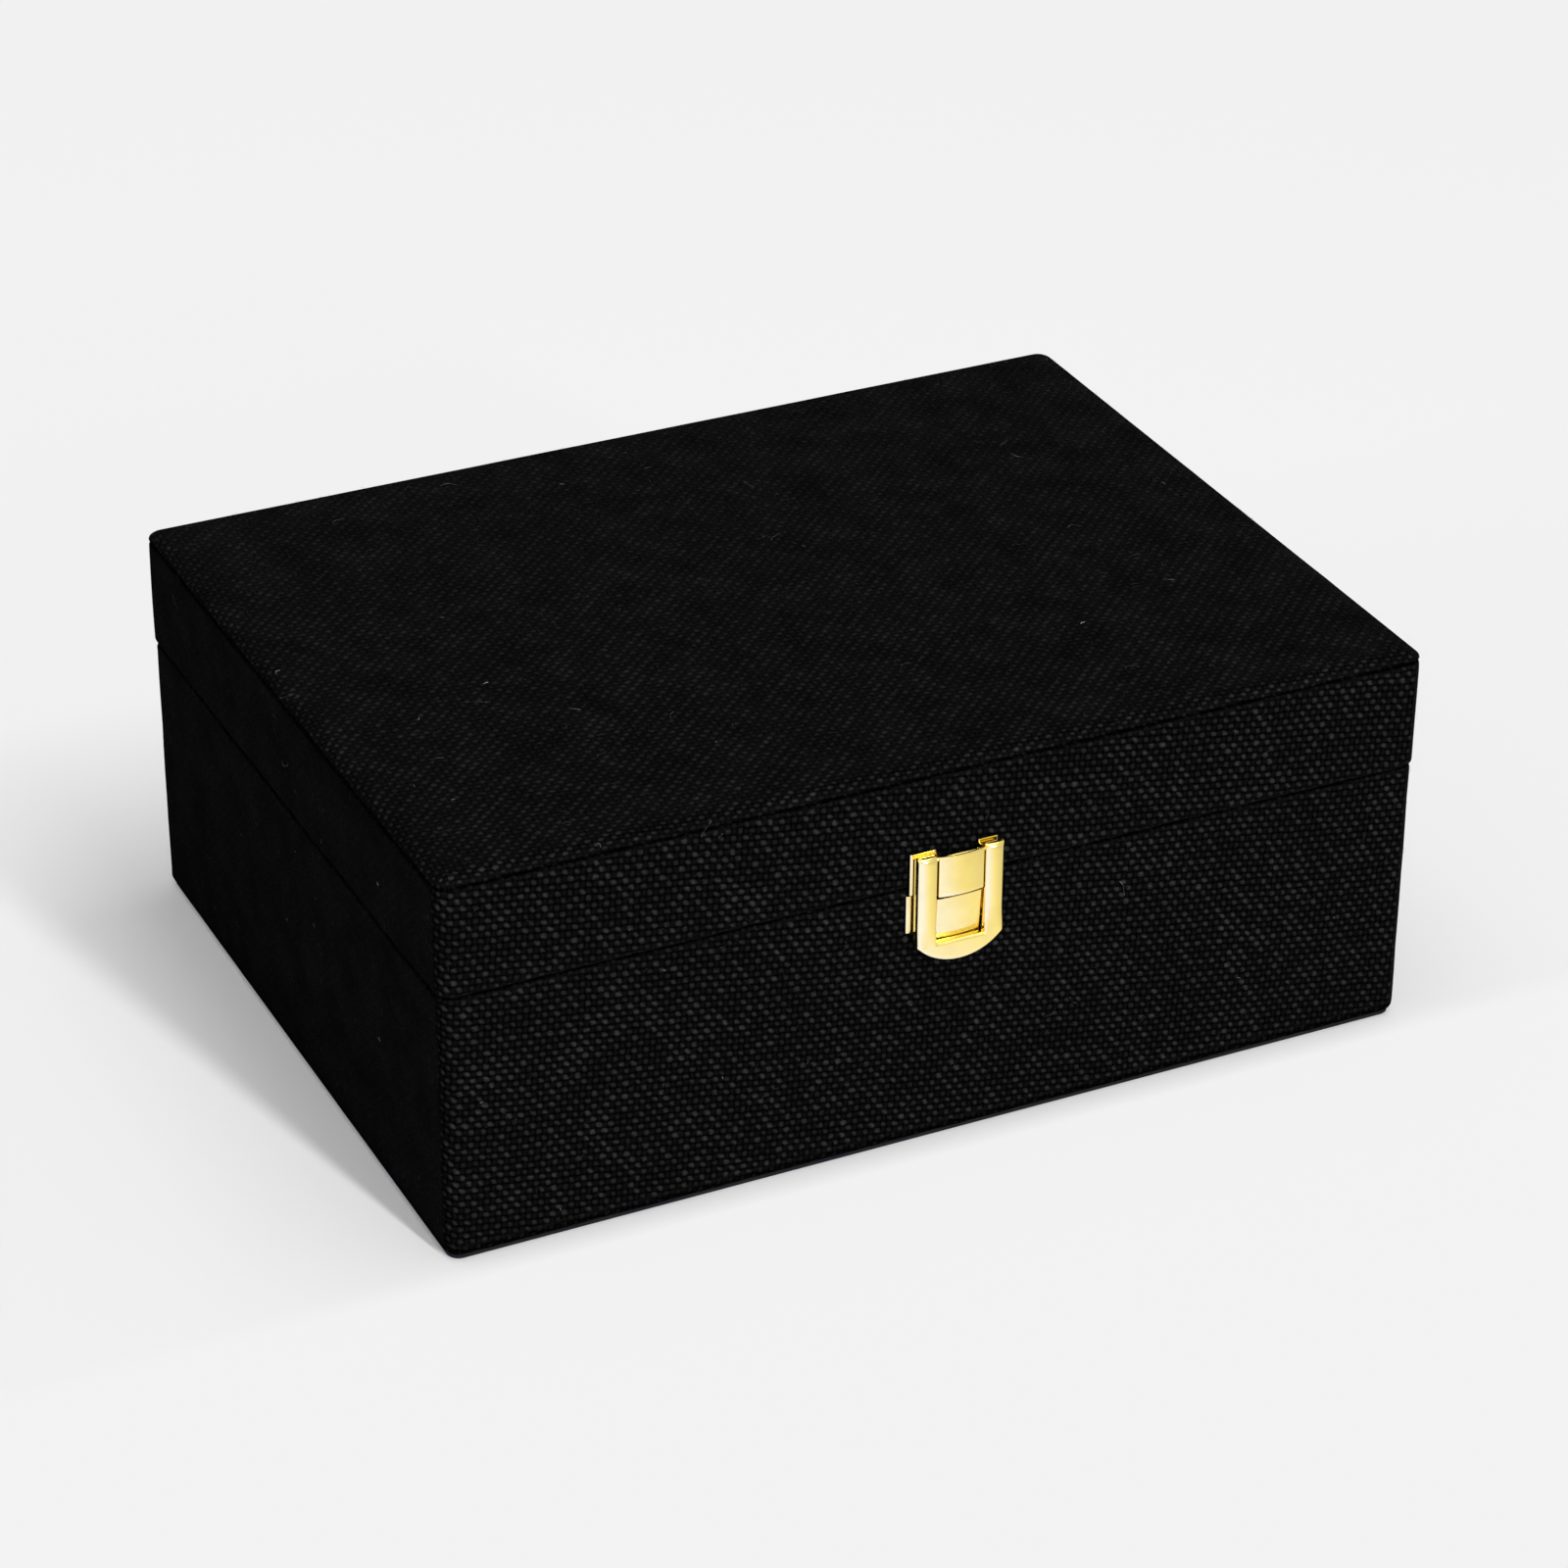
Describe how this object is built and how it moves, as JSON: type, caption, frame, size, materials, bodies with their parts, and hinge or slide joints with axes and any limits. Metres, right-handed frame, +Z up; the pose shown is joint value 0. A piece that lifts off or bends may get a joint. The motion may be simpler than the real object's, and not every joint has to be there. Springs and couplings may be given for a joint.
{
  "type": "jewelry organizer box",
  "caption": "Low rectangular jewelry box covered in black woven cloth, with a padded hinged lid, a gold snap latch and a velvet-lined inside with a lift-out tray.",
  "frame": {"origin": "centre of the box's outline on the surface that it stands on", "axes": "+Z up, -Y towards the front face with the latch, +X to the right seen from the front"},
  "size_m": [0.26, 0.2035, 0.1041],
  "materials": {
    "cloth": "coarse plain-woven black cloth glued over the boards, dull and slightly fuzzy",
    "board": "bare fibreboard, hidden under the cloth and the lining",
    "velvet": "short-pile black velvet over board or foam",
    "felt": "thin black pressed felt",
    "gold": "bright polished gold-coloured plating on stamped metal",
    "brass": "satin brass hinge, pin and screws"
  },
  "bodies": {
    "base": {"base_front_board": "board", "base_back_board": "board", "base_left_board": "board", "base_right_board": "board", "base_floor_board": "board", "base_wrap": "cloth", "base_underside_sheet": "felt", "base_lining": "velvet", "base_floor_pad": "velvet", "tray_rest_left": "velvet", "tray_rest_right": "velvet", "lower_cross_divider": "velvet", "lower_long_divider": "velvet", "latch_base_bracket": "gold", "base_nail_left": "gold", "base_nail_right": "gold", "hinge_base_leaf_left": "brass", "hinge_base_leaf_right": "brass", "hinge_pin_left": "brass", "hinge_pin_right": "brass", "hinge_base_screw_left_outer": "brass", "hinge_base_screw_left_inner": "brass", "hinge_base_screw_right_outer": "brass", "hinge_base_screw_right_inner": "brass"},
    "lid": {"lid_front_board": "board", "lid_back_board": "board", "lid_left_board": "board", "lid_right_board": "board", "lid_top_board": "board", "lid_wrap": "cloth", "lid_top_cover": "cloth", "lid_lining": "velvet", "lid_lining_pad": "velvet", "latch_lid_bracket": "gold", "lid_nail_left": "gold", "lid_nail_right": "gold", "latch_pin": "gold", "hinge_lid_leaf_left": "brass", "hinge_lid_leaf_right": "brass", "hinge_lid_screw_left_outer": "brass", "hinge_lid_screw_left_inner": "brass", "hinge_lid_screw_right_outer": "brass", "hinge_lid_screw_right_inner": "brass"},
    "lever": {"latch_lever": "gold"},
    "tray": {"tray_floor": "velvet", "tray_front_wall": "velvet", "tray_back_wall": "velvet", "tray_left_wall": "velvet", "tray_right_wall": "velvet", "tray_long_divider": "velvet", "tray_front_cross_divider": "velvet", "tray_back_cross_divider": "velvet", "ring_roll_1": "velvet", "ring_roll_2": "velvet", "ring_roll_3": "velvet", "ring_roll_4": "velvet", "ring_roll_5": "velvet", "ring_roll_6": "velvet"}
  },
  "joints": [
    {"name": "lid_hinge", "type": "hinge", "parent": "base", "child": "lid", "pos_m": [0, 0.09895, 0.0722], "axis": [-1, 0, 0], "range_deg": [0, 95]},
    {"name": "lever_pivot", "type": "hinge", "parent": "lid", "child": "lever", "pos_m": [0.0015, -0.10085, 0.0804], "axis": [-1, 0, 0], "range_deg": [0, 100]},
    {"name": "tray_lift", "type": "slide", "parent": "base", "child": "tray", "axis": [0, 0, 1], "range_m": [0, 0.024]}
  ]
}
